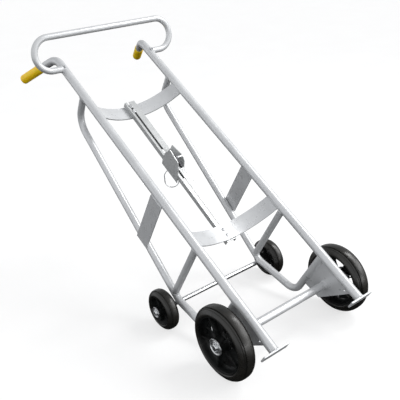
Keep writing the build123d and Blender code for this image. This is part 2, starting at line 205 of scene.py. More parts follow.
def paint_look(name, pale, deep):
    """Satin silver paint: slight cloudiness, fine grain, small scuffs low down."""
    look = Look(name, {"Metallic": 0.25, "Coat Weight": 0.2, "Coat Roughness": 0.15})
    cloud = look.spread(look.noise(9, 4), 0.35, 0.65, 0, 1)
    base = look.mix(cloud, deep, pale)
    grain = look.spread(look.noise(1400, 2), 0.3, 0.7, 0, 0.12)
    base = look.mix(grain, base, (0.30, 0.31, 0.32))
    scratch = look.noise(70, 3, 0.6, stretch=(1, 12, 1), turn=(radians(57), 0, 0))
    scratch = look.spread(scratch, 0.68, 0.76, 0, 0.14)
    low_down = look.spread(look.height(), 0.02, 0.45, 1, 0.15)
    base = look.mix(look.times(scratch, low_down), base, (0.30, 0.30, 0.31))
    dust = look.times(look.spread(look.noise(45, 5), 0.5, 0.8, 0, 0.15), low_down)
    look.colour(look.mix(dust, base, (0.40, 0.385, 0.36)))
    look.roughness(look.spread(look.noise(30, 4), 0.3, 0.7, 0.26, 0.40))
    look.relief((look.noise(260, 2), 0.00012), (look.noise(2200, 1), 0.00002))
    return look.material


def zinc_look():
    """Zinc-plated steel with a faint spangle and fine turning marks."""
    look = Look("zinc_plate", {"Metallic": 1.0})
    base = look.mix(look.cells(420), (0.68, 0.69, 0.70), (0.86, 0.87, 0.88))
    stain = look.spread(look.noise(60, 5), 0.5, 0.75, 0, 0.35)
    look.colour(look.mix(stain, base, (0.42, 0.41, 0.39)))
    look.roughness(look.spread(look.noise(90, 4), 0.3, 0.7, 0.22, 0.42))
    look.relief((look.noise(500, 3, stretch=(8, 1, 1)), 0.00004))
    return look.material


def rubber_look():
    """Moulded solid rubber: black-brown, dull, dusty on the way down to the floor."""
    look = Look("tyre_rubber", {"Specular IOR Level": 0.45})
    cloud = look.spread(look.noise(14, 5), 0.35, 0.65, 0, 1)
    base = look.mix(cloud, (0.009, 0.009, 0.008), (0.016, 0.015, 0.013))
    specks = look.spread(look.noise(900, 2), 0.62, 0.75, 0, 0.25)
    base = look.mix(specks, base, (0.085, 0.08, 0.07))
    dust = look.spread(look.noise(35, 6, 0.65), 0.5, 0.8, 0, 0.3)
    look.colour(look.mix(dust, base, (0.045, 0.043, 0.037)))
    look.roughness(look.spread(look.noise(50, 4), 0.3, 0.7, 0.24, 0.38))
    look.relief((look.noise(180, 3), 0.00015), (look.noise(1500, 2), 0.00005))
    return look.material


def core_look():
    """Black moulded nylon with a fine leather grain."""
    look = Look("core_nylon", {"Specular IOR Level": 0.22})
    cloud = look.spread(look.noise(30, 4), 0.35, 0.65, 0, 1)
    look.colour(look.mix(cloud, (0.004, 0.004, 0.004), (0.008, 0.009, 0.009)))
    look.roughness(look.spread(look.noise(110, 3), 0.3, 0.7, 0.32, 0.5))
    look.relief((look.noise(700, 2), 0.00006))
    return look.material


def vinyl_look():
    """Soft yellow vinyl, a little deeper in tone where hands rub it."""
    look = Look("yellow_vinyl", {"Subsurface Weight": 0.08, "Subsurface Scale": 0.004,
                                 "Coat Weight": 0.1, "Coat Roughness": 0.3})
    cloud = look.spread(look.noise(40, 4), 0.35, 0.7, 0, 1)
    base = look.mix(cloud, (1.0, 0.62, 0.006), (1.0, 0.72, 0.012))
    grime = look.spread(look.noise(130, 5, 0.65), 0.58, 0.78, 0, 0.18)
    look.colour(look.mix(grime, base, (0.60, 0.32, 0.01)))
    look.roughness(look.spread(look.noise(80, 3), 0.3, 0.7, 0.34, 0.5))
    look.relief((look.noise(420, 3), 0.0001), (look.noise(2500, 1), 0.00003))
    return look.material


def blackened_look():
    """Blackened, oiled steel, worn to metal in small patches."""
    look = Look("blackened_steel", {"Metallic": 0.8})
    wear = look.spread(look.noise(220, 5), 0.6, 0.72, 0, 1)
    look.colour(look.mix(wear, (0.035, 0.035, 0.038), (0.28, 0.28, 0.29)))
    look.roughness(look.spread(look.noise(150, 3), 0.3, 0.7, 0.32, 0.5))
    look.relief((look.noise(350, 3), 0.00008))
    return look.material


PAINT = paint_look("silver_paint", (0.64, 0.65, 0.66), (0.59, 0.60, 0.61))
HOOK_PAINT = paint_look("grey_paint", (0.55, 0.56, 0.56), (0.49, 0.50, 0.50))
ZINC = zinc_look()
RUBBER = rubber_look()
NYLON = core_look()
VINYL = vinyl_look()
BLACKENED = blackened_look()
LOOKS = {"frame_paint": PAINT, "toe_steel": PAINT, "hook_steel": HOOK_PAINT,
         "plated_steel": ZINC, "bearing_steel": ZINC, "tyre_rubber": RUBBER,
         "wheel_core": NYLON, "grip_vinyl": VINYL, "dark_steel": BLACKENED}
SLOT_OF = {s["node"]: s["material_slot"] for s in frame["record"]["subparts"]}
BODY_OF = {node: body for body, nodes in frame["record"]["behaviour"]["bodies"].items()
           for node in nodes}


# --- mesh tools -----------------------------------------------------------
def skin(rings, loop=False, caps=True):
    """Vertices and faces that join rings with the same number of points."""
    count = len(rings[0])
    verts = [point for ring in rings for point in ring]
    faces = []
    steps = len(rings) if loop else len(rings) - 1
    for step in range(steps):
        a = step * count
        b = (step + 1) % len(rings) * count
        for j in range(count):
            k = (j + 1) % count
            faces.append((a + j, a + k, b + k, b + j))
    if caps and not loop:
        faces.append(tuple(range(count)))
        faces.append(tuple(range(len(verts) - count, len(verts))))
    return verts, faces


def build(name, shapes, slot, body, nodes=(), sharp=35):
    """One piece from several closed shapes, on its body and in place of its CAD nodes."""
    mesh = bpy.data.meshes.new(name)
    verts = []
    faces = []
    for shape_verts, shape_faces in shapes:
        base = len(verts)
        verts += [tuple(v) for v in shape_verts]
        faces += [tuple(base + i for i in face) for face in shape_faces]
    mesh.from_pydata(verts, [], faces)
    edit = bmesh.new()
    edit.from_mesh(mesh)
    bmesh.ops.recalc_face_normals(edit, faces=edit.faces)
    edit.to_mesh(mesh)
    edit.free()
    mesh.shade_smooth()
    mesh.set_sharp_from_angle(angle=radians(sharp))
    mesh.materials.append(LOOKS[slot])
    piece = bpy.data.objects.new(name, mesh)
    bpy.context.scene.collection.objects.link(piece)
    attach(piece, body)
    if nodes:
        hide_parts(*nodes)
    return piece


def unit_circle(sides):
    return [(cos(tau * i / sides), sin(tau * i / sides)) for i in range(sides)]


def sweep(points, radius, sides=32, loop=False):
    """Round tube along points. radius is a number, or a function of the length so far."""
    count = len(points)
    aims = []
    for i, point in enumerate(points):
        before = points[i - 1] if loop or i else point
        after = points[(i + 1) % count] if loop or i < count - 1 else point
        aims.append((after - before).normalized())
    side = aims[0].orthogonal().normalized()
    rings = []
    run = 0.0
    for i, point in enumerate(points):
        if i:
            run += (point - points[i - 1]).length
            side = (side - aims[i] * side.dot(aims[i])).normalized()
        other = aims[i].cross(side)
        r = radius(run) if callable(radius) else radius
        rings.append([point + side * (a * r) + other * (b * r) for a, b in unit_circle(sides)])
    return skin(rings, loop=loop)


def rounded(corners, radii, step=radians(4)):
    """Points along straight runs joined by arcs of the given radii."""
    points = [corners[0]]
    for i, radius in enumerate(radii, start=1):
        here = corners[i]
        into = (here - corners[i - 1]).normalized()
        out = (corners[i + 1] - here).normalized()
        turn = into.angle(out)
        start = here - into * (radius * tan(turn / 2))
        inward = (out - into * into.dot(out)).normalized()
        centre = start + inward * radius
        pieces = max(2, ceil(turn / step))
        for k in range(pieces + 1):
            angle = turn * k / pieces
            points.append(centre - inward * (radius * cos(angle)) + into * (radius * sin(angle)))
    points.append(corners[-1])
    return points


def lathe(centre, axis, profile, segments=96):
    """Closed profile of (distance along the axis, radius) turned about the axis."""
    side = axis.orthogonal().normalized()
    other = axis.cross(side)
    rings = []
    for along, radius in profile:
        hub = centre + axis * along
        rings.append([hub + side * (a * radius) + other * (b * radius)
                      for a, b in unit_circle(segments)])
    return skin(rings, loop=True)


def slab(outlines, thickness, bevel, place):
    """Flat plate with rounded edges. outlines are an outer edge and any holes, and
    place is the matrix that takes the outline's plane, through the middle, to the row frame."""
    curve = bpy.data.curves.new("slab", "CURVE")
    curve.dimensions = "2D"
    curve.fill_mode = "BOTH"
    curve.extrude = thickness / 2 - bevel
    curve.bevel_depth = bevel
    curve.bevel_resolution = 2
    curve.offset = -bevel
    for outline in outlines:
        spline = curve.splines.new("POLY")
        spline.points.add(len(outline) - 1)
        for point, (a, b) in zip(spline.points, outline):
            point.co = (a, b, 0, 1)
        spline.use_cyclic_u = True
    flat = bpy.data.objects.new("slab", curve)
    bpy.context.scene.collection.objects.link(flat)
    bpy.context.view_layer.update()
    mesh = bpy.data.meshes.new_from_object(flat)
    edit = bmesh.new()
    edit.from_mesh(mesh)
    bmesh.ops.remove_doubles(edit, verts=edit.verts, dist=1e-6)
    verts = [place @ v.co for v in edit.verts]
    faces = [tuple(v.index for v in face.verts) for face in edit.faces]
    edit.free()
    bpy.data.objects.remove(flat)
    bpy.data.curves.remove(curve)
    bpy.data.meshes.remove(mesh)
    return verts, faces


def basis(origin, x_dir, y_dir):
    """Matrix of a plane from its origin and its two directions."""
    x_dir = x_dir.normalized()
    y_dir = y_dir.normalized()
    z_dir = x_dir.cross(y_dir)
    turned = Matrix((x_dir, y_dir, z_dir)).transposed().to_4x4()
    return Matrix.Translation(origin) @ turned


def softened(node, bevel=0.0008):
    """A copy of a CAD node with small rounded edges, in its place."""
    source = frame["nodes"][node]
    edit = bmesh.new()
    edit.from_mesh(source.data)
    bmesh.ops.remove_doubles(edit, verts=edit.verts, dist=2e-6)
    bmesh.ops.dissolve_limit(edit, angle_limit=radians(0.5), verts=edit.verts, edges=edit.edges)
    shape = [v.co.copy() for v in edit.verts], [tuple(v.index for v in f.verts) for f in edit.faces]
    edit.free()
    piece = build(node + "_finished", [shape], SLOT_OF[node], BODY_OF[node], [node])
    edges = piece.modifiers.new("rounded_edges", "BEVEL")
    edges.width = bevel
    edges.segments = 2
    edges.limit_method = "ANGLE"
    edges.angle_limit = radians(40)
    edges.use_clamp_overlap = True
    normals = piece.modifiers.new("even_shading", "WEIGHTED_NORMAL")
    normals.keep_sharp = True
    return piece


# --- welds ----------------------------------------------------------------
WELD_R = 0.0026
RIPPLE = 0.0032
welds = []


def weld(points, loop=False, radius=WELD_R):
    """A rippled bead along points, stepped finely enough to show its ripples."""
    line = points + points[:1] if loop else points
    even = [line[0]]
    spare = 0.0
    step = RIPPLE / 5
    for a, b in zip(line, line[1:]):
        length = (b - a).length
        reach = step - spare
        while reach < length:
            even.append(a.lerp(b, reach / length))
            reach += step
        spare = length - (reach - step)
    if loop:
        even.pop()
    total = step * len(even)

    def bead(run):
        ripple = radius * (0.86 + 0.2 * abs(sin(pi * run / RIPPLE)))
        if loop:
            return ripple
        end = min(run, total - run) / (3 * radius)
        return ripple * max(0.25, sqrt(min(1.0, max(0.0, end))))

    welds.append(sweep(even, bead, sides=8, loop=loop))


def seam(start, aim, radius, host, host_aim, host_radius):
    """Line where a round branch, coming along aim, first meets a round host."""
    side = aim.orthogonal().normalized()
    other = aim.cross(side)
    points = []
    for a, b in unit_circle(60):
        p = start + side * (a * radius) + other * (b * radius)
        from_axis = (p - host) - host_aim * (p - host).dot(host_aim)
        square = aim - host_aim * aim.dot(host_aim)
        aa = square.dot(square)
        bb = from_axis.dot(square)
        cc = from_axis.dot(from_axis) - host_radius ** 2
        inside = max(0.0, bb * bb - aa * cc)
        points.append(p + aim * ((-bb - sqrt(inside)) / aa))
    return points


# --- rails, grips and loop --------------------------------------------------
def rail_line(side):
    """Centre line of a rail from its foot to its grip end."""
    bend = at(side * RAIL_X, RAIL_N, RAIL_BEND_U)
    aside = ACROSS * (side * sin(RAIL_SPLAY)) + BACK * cos(RAIL_SPLAY)
    corner_u = RAIL_BEND_R * tan(RAIL_BEND / 2)
    corner = bend + UP * corner_u
    tail_aim = aside * sin(RAIL_BEND) + UP * cos(RAIL_BEND)
    end = corner + tail_aim * (corner_u + RAIL_TAIL)
    return rounded([at(side * RAIL_X, RAIL_N, RAIL_FOOT_U), corner, end], [RAIL_BEND_R], radians(3))


for name, side in SIDES.items():
    line = rail_line(side)
    build(f"{name}_rail_tube", [sweep(line, RAIL_R, 48)], "frame_paint", "frame", [f"{name}_rail"])
    tip_aim = (line[-1] - line[-2]).normalized()
    sleeve = [(0.003, 0.0), (0.003, 0.014), (0.0024, 0.0166), (0.0008, 0.0184), (-0.0015, GRIP_R)]
    ribs = 16
    for i in range(ribs + 1):
        along = -0.012 - i * 0.0055
        sleeve += [(along, GRIP_R), (along - 0.0014, GRIP_R - 0.0005), (along - 0.0028, GRIP_R)]
    lip = 0.003 - GRIP_L
    sleeve += [(lip + 0.006, GRIP_R - 0.0003), (lip + 0.0045, GRIP_R - 0.0006),
               (lip + 0.003, GRIP_R), (lip + 0.001, GRIP_R - 0.0002), (lip, GRIP_R - 0.0012),
               (lip, RAIL_R + 0.0002), (0.0, RAIL_R + 0.0002), (0.0, 0.0)]
    build(f"{name}_vinyl_grip", [lathe(line[-1], tip_aim, sleeve, 64)], "grip_vinyl", "frame",
          [f"{name}_grip"])

loop_up = BACK * sin(LOOP_TILT) + UP * cos(LOOP_TILT)
loop_low = at(0, LOOP_N, LOOP_U)
loop_line = [loop_low + ACROSS * (RAIL_X + RAIL_R * 0.6)]
for end in (1, -1):
    middle_of_end = loop_low + ACROSS * (end * LOOP_X) + loop_up * LOOP_ARC_R
    steps = 48
    for i in range(steps + 1):
        angle = pi * (i / steps - end / 2)
        loop_line.append(middle_of_end + ACROSS * (LOOP_ARC_R * cos(angle))
                         + loop_up * (LOOP_ARC_R * sin(angle)))
loop_line.append(loop_low - ACROSS * (RAIL_X + RAIL_R * 0.6))
build("handle_loop_tube", [sweep(loop_line, LOOP_R, 40)], "frame_paint", "frame", ["handle_loop"])

# --- legs and struts --------------------------------------------------------
leg_corners = [(RAIL_N, LEG_TOP_U), (0.042, LEG_TOP_U), (0.208, 0.265), (0.151, LEG_LOW_U),
               (RAIL_N, LEG_LOW_U)]
for name, side in SIDES.items():
    x = side * RAIL_X
    line = rounded([at(x, n, u) for n, u in leg_corners], [0.075, 0.060, 0.055], radians(3))
    line[0] = line[0] + BACK * (RAIL_R * 0.7)
    line[-1] = line[-1] + BACK * (RAIL_R * 0.7)
    build(f"{name}_leg_tube", [sweep(line, LEG_R, 40)], "frame_paint", "frame", [f"{name}_leg"])
    strut = [at(x, RAIL_N + RAIL_R * 0.7, STRUT_U), at(x, STRUT_END_N, STRUT_U)]
    build(f"{name}_strut_tube", [sweep(strut, STRUT_R, 40)], "frame_paint", "frame",
          [f"{name}_strut"])

    rail_axis = at(x, RAIL_N, 0)
    for u, radius in ((LEG_TOP_U, LEG_R), (LEG_LOW_U, LEG_R), (STRUT_U, STRUT_R)):
        weld(seam(at(x, 0.03, u), -BACK, radius, rail_axis, UP, RAIL_R), loop=True)
    leg_aim = at(0, 0.208, 0.265) - at(0, 0.042, LEG_TOP_U)
    weld(seam(at(x, 0.10, STRUT_U), BACK, STRUT_R, at(x, 0.208, 0.265), leg_aim.normalized(),
              LEG_R), loop=True)
    weld(seam(loop_low + ACROSS * (side * 0.24), ACROSS * -side, LOOP_R, rail_axis, UP, RAIL_R),
         loop=True)

# --- welds of toe bars, axle tube, gussets, braces and cradles ------------------
def circle(centre, axis, radius, count=60):
    """Points of a circle about an axis."""
    side = axis.orthogonal().normalized()
    other = axis.cross(side)
    return [centre + side * (a * radius) + other * (b * radius) for a, b in unit_circle(count)]


def cradle_end(radius):
    """Where the cradle's face of this radius runs into the right rail: x and n."""
    centre_n = CRADLE_N - CRADLE_R
    angle = 0.0
    while angle < pi / 2:
        x = radius * sin(angle)
        n = centre_n + radius * cos(angle)
        if (x - RAIL_X) ** 2 + (n - RAIL_N) ** 2 < RAIL_R ** 2:
            return x, n
        angle += 0.0005


rail_back_n = RAIL_N + sqrt(RAIL_R ** 2 - (PLATE_T / 2) ** 2)
leg_under_u = LEG_LOW_U - sqrt(LEG_R ** 2 - (PLATE_T / 2) ** 2)
brace_x = RAIL_X + LEG_R
for name, side in SIDES.items():
    x = side * RAIL_X
    weld(circle(at(x, RAIL_N, RAIL_FOOT_U), UP, RAIL_R), loop=True)
    weld(circle(at(side * AXLE_TUBE_HALF, 0, 0), ACROSS, AXLE_TUBE_R), loop=True, radius=0.003)
    for face in (-1, 1):
        face_x = x + face * PLATE_T / 2
        weld([at(face_x, rail_back_n, GUSSET_LOW_U + 0.004), at(face_x, rail_back_n, 0.054)])
        weld([at(face_x, RAIL_N + 0.03, leg_under_u), at(face_x, 0.072, leg_under_u)])
    for n in (-0.0855, 0.1545):
        weld([at(side * (brace_x + 0.001), n, BRACE_U - 0.030),
              at(side * (brace_x + 0.001), n, BRACE_U + 0.030)], radius=0.003)
    for place, u in CRADLE_US.items():
        for radius in (CRADLE_R, CRADLE_R + PLATE_T):
            end_x, end_n = cradle_end(radius)
            weld([at(side * end_x, end_n, u - 0.029), at(side * end_x, end_n, u + 0.029)])

# --- wheels ---------------------------------------------------------------------
# Half of the main tyre's section, in millimetres: distance from the wheel's middle
# plane, and radius. wheel() scales it to each wheel's rim, radius and width.
TREAD_RIM = 98.0
TREAD_TOP = 127.0
TREAD_HALF = 30.0
TYRE_SECTION = [(0, 127), (8, 126.6), (13, 125.6), (14.6, 124.9), (15.4, 120.6), (17.9, 120.0),
                (18.8, 122.4), (20.2, 121.4), (20.8, 119.8), (21.4, 118.0), (23, 117.2),
                (24.2, 116.4), (27, 110.2), (28.8, 108.3), (30, 105.5), (30, 101.5), (28.4, 99.3),
                (26, 98)]
SPOKES = 5
SPOKE_TURN = radians(-9)
MAIN_AXLE_R = 0.010
REAR_AXLE_R = 0.0085
WHEELS = {
    "main": {"radius": 0.127, "half": 0.030, "rim_r": 0.098, "hub_half": 0.037, "hub_r": 0.027,
             "bore_r": 0.0175, "axle_r": MAIN_AXLE_R},
    "rear": {"radius": 0.076, "half": 0.023, "rim_r": 0.054, "hub_half": 0.035, "hub_r": 0.019,
             "bore_r": 0.013, "axle_r": REAR_AXLE_R},
}
# Washer at each axle end: its radius, and how far out it and the axle's end lie
# from the wheel's middle plane.
AXLE_ENDS = {
    "main": {"axle_r": MAIN_AXLE_R, "washer_r": 0.016, "washer_out": 0.0355, "end_out": 0.0415},
    "rear": {"axle_r": REAR_AXLE_R, "washer_r": 0.0125, "washer_out": 0.0335, "end_out": 0.0395},
}
WASHER_T = 0.0018


def polar(radius, angle):
    return radius * cos(angle), radius * sin(angle)


def arc(radius, start, end, count=10):
    """Points of an arc about the origin, both ends included."""
    return [polar(radius, start + (end - start) * i / count) for i in range(count + 1)]


def window(inner_r, outer_r, middle_angle, half_angle, corner):
    """Outline of a web window: two arcs joined by straight sides, corners eased."""
    ease_out = corner / outer_r
    ease_in = corner / inner_r
    inner_half = half_angle * 0.8
    points = arc(outer_r, middle_angle - half_angle + ease_out, middle_angle + half_angle - ease_out)
    points.append(polar(outer_r - corner, middle_angle + half_angle))
    points.append(polar(inner_r + corner, middle_angle + inner_half))
    points += arc(inner_r, middle_angle + inner_half - ease_in, middle_angle - inner_half + ease_in)
    points.append(polar(inner_r + corner, middle_angle - inner_half))
    points.append(polar(outer_r - corner, middle_angle - half_angle))
    return points


def wheel(name, side, radius, half, rim_r, hub_half, hub_r, bore_r, axle_r):
    """Tyre, core, hub ring and bearing of one wheel, as pieces of its body."""
    body = name + "_wheel"
    out = ACROSS * side
    centre = middle(name + "_tyre")
    section = []
    for x, r in TYRE_SECTION:
        share = (r - TREAD_RIM) / (TREAD_TOP - TREAD_RIM)
        section.append((x / TREAD_HALF * half, rim_r + share * (radius - rim_r)))
    profile = section + [(-x, r) for x, r in reversed(section)][:-1]
    build(name + "_solid_tyre", [lathe(centre, out, profile, 144)], "tyre_rubber", body,
          [name + "_tyre"])

    rim_half = half - 0.004
    wall = rim_r - 0.0045
    web = 0.003
    rim = [(rim_half, rim_r), (rim_half, wall + 0.001), (rim_half - 0.001, wall),
           (rim_half - 0.005, wall - 0.001), (web + 0.008, wall - 0.0035),
           (web + 0.003, wall - 0.006), (web, wall - 0.011)]
    rim += [(-x, r) for x, r in reversed(rim)]
    hub = [(-hub_half, bore_r), (-hub_half, hub_r - 0.0015), (0.0015 - hub_half, hub_r),
           (-web - 0.006, hub_r + 0.0008), (-web - 0.002, hub_r + 0.002), (-web, hub_r + 0.006),
           (web, hub_r + 0.006), (web + 0.002, hub_r + 0.002), (web + 0.006, hub_r + 0.0008),
           (hub_half - 0.004, hub_r), (hub_half - 0.004, bore_r)]
    shapes = [lathe(centre, out, rim, 128), lathe(centre, out, hub, 64)]
    flat = basis(centre, Vector((0, 1, 0)), Vector((0, 0, 1)))
    outer_r = rim_r - 0.014
    inner_r = hub_r + 0.008
    outlines = [[(a * (wall - 0.009), b * (wall - 0.009)) for a, b in unit_circle(96)]]
    outlines.append([(a * (hub_r + 0.003), b * (hub_r + 0.003)) for a, b in unit_circle(48)])
    for i in range(SPOKES):
        angle = SPOKE_TURN + tau * (i + 0.5) / SPOKES
        outlines.append(window(inner_r, outer_r, angle, radians(16), 0.004))
    shapes.append(slab(outlines, 2 * web, 0.0008, flat))
    for i in range(SPOKES):
        angle = SPOKE_TURN + tau * i / SPOKES
        radial = Vector((0, cos(angle), sin(angle)))
        inset = rim_half - 0.005
        rib = [(hub_r - 0.001, -inset), (wall - 0.002, -inset - 0.001), (wall - 0.002, inset + 0.001),
               (hub_r - 0.001, inset)]
        shapes.append(slab([rib], 0.007, 0.0012, basis(centre, radial, ACROSS)))
    build(name + "_nylon_core", shapes, "wheel_core", body, [name + "_core"])

    face = hub_half
    ring_r = hub_r + 0.0015
    ring = [(face - 0.004, axle_r + 0.0005), (face - 0.004, ring_r), (face - 0.001, ring_r),
            (face, ring_r - 0.0008), (face, ring_r - 0.0035), (face - 0.0008, ring_r - 0.0043),
            (face - 0.0024, ring_r - 0.0050), (face - 0.0027, ring_r - 0.0075),
            (face - 0.0020, ring_r - 0.0085), (face - 0.0020, axle_r + 0.0005)]
    build(name + "_hub_cover", [lathe(centre, out, ring, 80)], "plated_steel", body,
          [name + "_hub_ring"])
    sleeve = [(-face, axle_r + 0.0001), (-face, bore_r - 0.0006), (0.0006 - face, bore_r),
              (face - 0.004, bore_r), (face - 0.004, axle_r + 0.0001)]
    build(name + "_bearing_sleeve", [lathe(centre, out, sleeve, 48)], "bearing_steel", body,
          [name + "_bearing"])
    nipple_aim = Vector((0, cos(radians(12)), sin(radians(12))))
    nipple_at = centre + out * (face - 0.0075) + nipple_aim * (hub_r - 0.001)
    nipple = [(0, 0), (0, 0.0034), (0.003, 0.0034), (0.0034, 0.0022), (0.0052, 0.0019),
              (0.0060, 0.0024), (0.0072, 0.0018), (0.0074, 0)]
    build(name + "_grease_nipple", [lathe(nipple_at, nipple_aim, nipple, 24)], "plated_steel", body)


def axle_end(name, side, axle_r, washer_r, washer_out, end_out):
    """Washer and split pin that hold a wheel on its axle."""
    node = name + "_retainer"
    hub = middle(node)
    hub.x = 0
    out = ACROSS * side
    wheel_x = abs(middle(name + "_tyre").x)
    washer_x = wheel_x + washer_out
    end_x = wheel_x + end_out
    outer_x = washer_x + WASHER_T
    washer = [(washer_x, axle_r), (washer_x, washer_r - 0.0003), (washer_x + 0.0004, washer_r),
              (outer_x - 0.0004, washer_r), (outer_x, washer_r - 0.0004), (outer_x, axle_r)]
    pin_r = 0.0011
    pin_x = (outer_x + end_x) / 2
    tilt = Vector((0, cos(radians(70)), sin(radians(70))))
    aside = Vector((0, -tilt.z, tilt.y))
    shapes = [lathe(hub, out, washer, 64)]
    reach = washer_r - 0.0015
    for leg in (-1, 1):
        start = hub + out * pin_x + tilt * (axle_r + 0.0016) + aside * (leg * 0.0008)
        run = [start, hub + out * pin_x - tilt * (axle_r + 0.001) + aside * (leg * 0.0010),
               hub + out * pin_x - tilt * (reach - 0.0012) + aside * (leg * 0.0034)]
        shapes.append(sweep(run, pin_r, 12))
    eye = circle(hub + out * pin_x + tilt * (axle_r + 0.0026), out, 0.0020, 20)
    shapes.append(sweep(eye, pin_r, 12, loop=True))
    build(name + "_washer_and_pin", shapes, "plated_steel", "frame", [node])


for name, side in SIDES.items():
    for kind, sizes in WHEELS.items():
        wheel(f"{name}_{kind}", side, **sizes)
    for kind, sizes in AXLE_ENDS.items():
        axle_end(f"{name}_{kind}", side, **sizes)


# --- axles, axle tube and spacers ------------------------------------------------
def turned(name, node, radius, bore, bevel):
    """Straight turned rod or tube along X that fills a CAD node's length."""
    lo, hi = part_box(node)
    centre = (lo + hi) / 2
    half = (hi.x - lo.x) / 2
    line = [(-half, bore), (-half, radius - bevel), (bevel - half, radius),
            (half - bevel, radius), (half, radius - bevel), (half, bore)]
    build(name, [lathe(centre, ACROSS, line, 48)], SLOT_OF[node], BODY_OF[node], [node])


turned("main_axle_rod", "main_axle", MAIN_AXLE_R, 0.0, 0.0015)
turned("rear_axle_rod", "rear_axle", REAR_AXLE_R, 0.0, 0.0015)
turned("axle_cross_tube", "axle_tube", AXLE_TUBE_R, MAIN_AXLE_R + 0.0005, 0.0005)
for name in SIDES:
    turned(f"{name}_main_spacer_tube", f"{name}_main_spacer", AXLE_TUBE_R, MAIN_AXLE_R, 0.0008)
    turned(f"{name}_rear_spacer_tube", f"{name}_rear_spacer", 0.0115, REAR_AXLE_R, 0.0008)

# --- track bolts, hook pin, spring and pull ring ------------------------------------
track_low = at(0, CRADLE_N + PLATE_T, CRADLE_US["lower"])
track_high = at(0, CRADLE_N - TRACK_DEPTH, CRADLE_US["upper"])
TRACK_UP = (track_high - track_low).normalized()
TRACK_BACK = TRACK_UP.cross(ACROSS).normalized()
if TRACK_BACK.dot(BACK) < 0:
    TRACK_BACK = -TRACK_BACK


def on_track(x, b, u):
    """Point x across and b behind the track's front face, at height u on the frame."""
    share = (u - CRADLE_US["lower"]) / (CRADLE_US["upper"] - CRADLE_US["lower"])
    return track_low.lerp(track_high, share) + ACROSS * x + TRACK_BACK * b


def hexagon(centre, axis, corner_r, height):
    """Hexagon nut or head with its corners eased on both faces."""
    other = axis.cross(ACROSS)
    rings = []
    for along, share in ((0.0, 0.93), (height * 0.14, 1.0), (height * 0.86, 1.0), (height, 0.93)):
        rings.append([centre + axis * along + ACROSS * (a * corner_r * share)
                      + other * (b * corner_r * share) for a, b in unit_circle(6)])
    return skin(rings)


bolt_shapes = []
front = -TRACK_BACK
for u in (CRADLE_US["lower"] - 0.014, CRADLE_US["lower"] + 0.012):
    seat = on_track(SLOT_X, -PLATE_T - 0.0003, u)
    dome = [(0, 0), (0, 0.0068), (0.0007, 0.0070), (0.0022, 0.0064), (0.0038, 0.0048),
            (0.0048, 0.0026), (0.0052, 0)]
    bolt_shapes.append(lathe(seat, front, dome, 40))
    bolt_shapes.append(lathe(seat, TRACK_BACK, [(-0.001, 0), (-0.001, 0.0038), (0.0172, 0.0038),
                                                (0.0180, 0.0030), (0.0180, 0)], 24))
    nut_seat = on_track(SLOT_X, TRACK_T, u)
    bolt_shapes.append(lathe(nut_seat, TRACK_BACK, [(0, 0.0041), (0, 0.0068), (0.0012, 0.0068),
                                                    (0.0012, 0.0041)], 32))
    bolt_shapes.append(hexagon(nut_seat + TRACK_BACK * 0.0012, TRACK_BACK, 0.0064, 0.0055))
for u in (CRADLE_US["upper"] - 0.014, CRADLE_US["upper"] + 0.014):
    seat = on_track(SLOT_X, 0, u)
    bolt_shapes.append(lathe(seat, front, [(0, 0.0041), (0, 0.0078), (0.0010, 0.0080),
                                           (0.0013, 0.0076), (0.0013, 0.0041)], 40))
    bolt_shapes.append(hexagon(seat + front * 0.0012, front, 0.0072, 0.0032))
    bolt_shapes.append(lathe(seat, TRACK_BACK, [(0, 0), (0, 0.0038), (TRACK_DEPTH + 0.0142, 0.0038),
                                                (TRACK_DEPTH + 0.0150, 0.0030),
                                                (TRACK_DEPTH + 0.0150, 0)], 24))
    nut_seat = on_track(SLOT_X, TRACK_DEPTH + PLATE_T + 0.001, u)
    bolt_shapes.append(hexagon(nut_seat, TRACK_BACK, 0.0064, 0.0068))
build("track_bolt_set", bolt_shapes, "plated_steel", "frame", ["track_bolts"], sharp=30)

joints = {j["name"]: j for j in frame["record"]["behaviour"]["joints"]}
pin_at = middle("hook_pin")
lo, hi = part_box("hook_pin")
pin_half = (hi.x - lo.x) / 2
pin_line = [(-pin_half, 0.0022), (-pin_half, 0.0034), (0.0006 - pin_half, 0.0040),
            (pin_half - 0.0006, 0.0040), (pin_half, 0.0034), (pin_half, 0.0022)]
build("hook_pin_tube", [lathe(pin_at, ACROSS, pin_line, 40)], "plated_steel", "hook_slide",
      ["hook_pin"])
lo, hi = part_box("hook_spring")
wire_r = 0.0008
turns = 4.5
coil_r = 0.0054
coil = []
coil_steps = 200
for i in range(coil_steps + 1):
    angle = tau * turns * i / coil_steps
    x = lo.x + wire_r + (hi.x - lo.x - 2 * wire_r) * i / coil_steps
    coil.append(Vector((x, pin_at.y + coil_r * cos(angle), pin_at.z + coil_r * sin(angle))))
build("hook_spring_coil", [sweep(coil, wire_r, 12)], "plated_steel", "hook_slide", ["hook_spring"])

swing = joints["ring_swing"]
ring_top = Vector(swing["pos_m"])
ring_side = Vector(swing["axis"]).normalized()
lo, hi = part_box("pull_ring")
ring_wire = 0.002
ring_half = (hi.x - lo.x - 2 * ring_wire) / 2 / abs(ring_side.x)
ring_low = ring_top.z - (lo.z + ring_wire)
ring_line = []
for centre_z, start in ((-ring_half, 0.0), (ring_half - ring_low, pi)):
    for i in range(37):
        angle = start + pi * i / 36
        ring_line.append(ring_top + ring_side * (ring_half * cos(angle))
                         + Vector((0, 0, centre_z + ring_half * sin(angle))))
build("wire_pull_ring", [sweep(ring_line, ring_wire, 20, loop=True)], "plated_steel", "pull_ring",
      ["pull_ring"])
softened("ring_eye", 0.0002)

